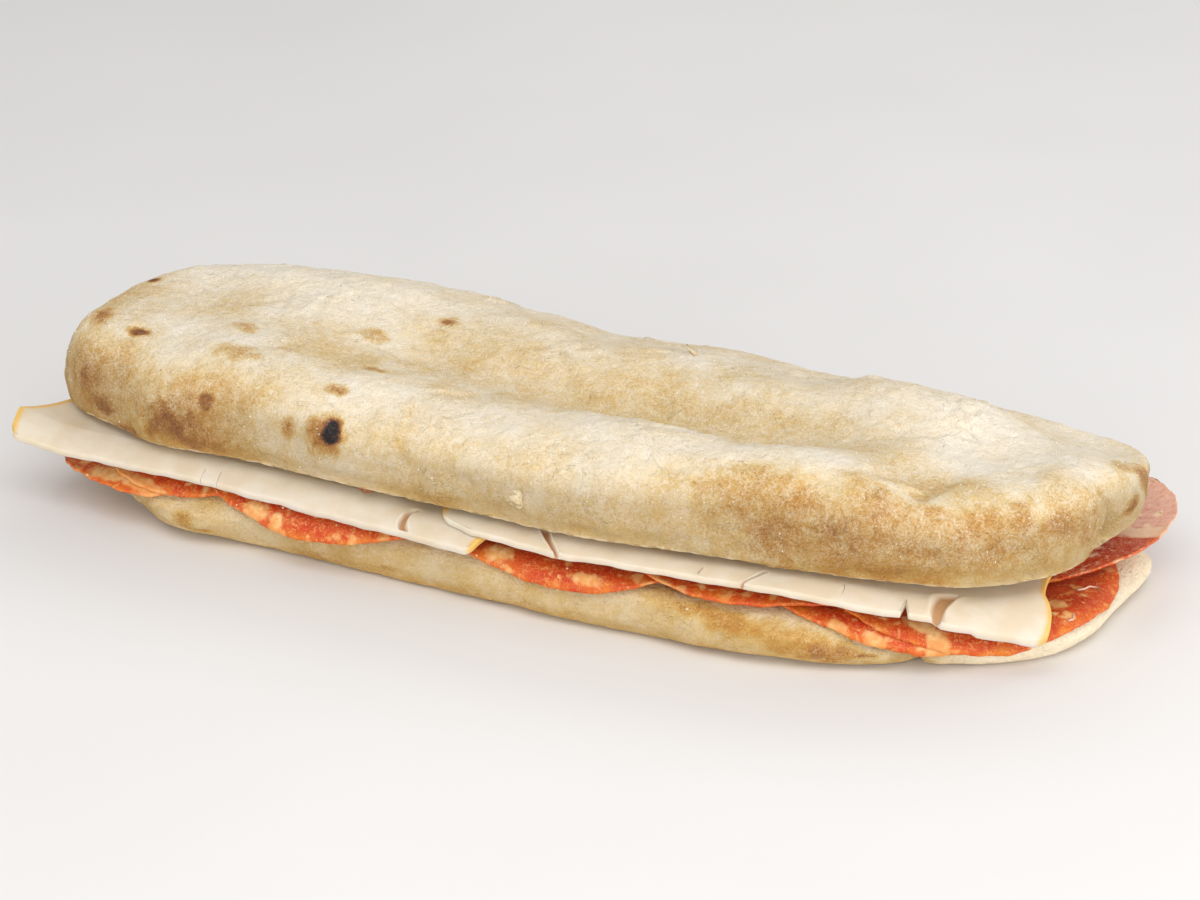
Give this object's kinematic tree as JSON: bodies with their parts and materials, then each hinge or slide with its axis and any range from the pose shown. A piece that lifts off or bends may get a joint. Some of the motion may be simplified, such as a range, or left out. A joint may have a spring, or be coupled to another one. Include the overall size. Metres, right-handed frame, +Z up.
{
  "type": "salami panini",
  "caption": "Long filled flatbread sandwich: two floury bread halves with thin salami and mild cheese slices that hang out over the front edge.",
  "frame": {"origin": "middle of the sandwich's box, on the surface it rests on", "axes": "+X along the bread, +Z up; the side where the cheese hangs out faces -Y"},
  "size_m": [0.2904, 0.1152, 0.0528],
  "materials": {
    "crust": "floury baked crust, dry and matt",
    "salami": "cured meat with fat marbling, moist sheen",
    "cheese": "smooth ivory cheese, satin"
  },
  "bodies": {
    "root": {"bread_bottom": "crust", "bread_top": "crust", "salami_front_1": "salami", "salami_front_2": "salami", "salami_front_3": "salami", "salami_front_4": "salami", "salami_front_5": "salami", "salami_front_6": "salami", "salami_end_1": "salami", "salami_end_2": "salami", "salami_back_1": "salami", "salami_back_2": "salami", "salami_back_3": "salami", "salami_back_4": "salami", "cheese_left": "cheese", "cheese_right": "cheese"}
  },
  "joints": []
}
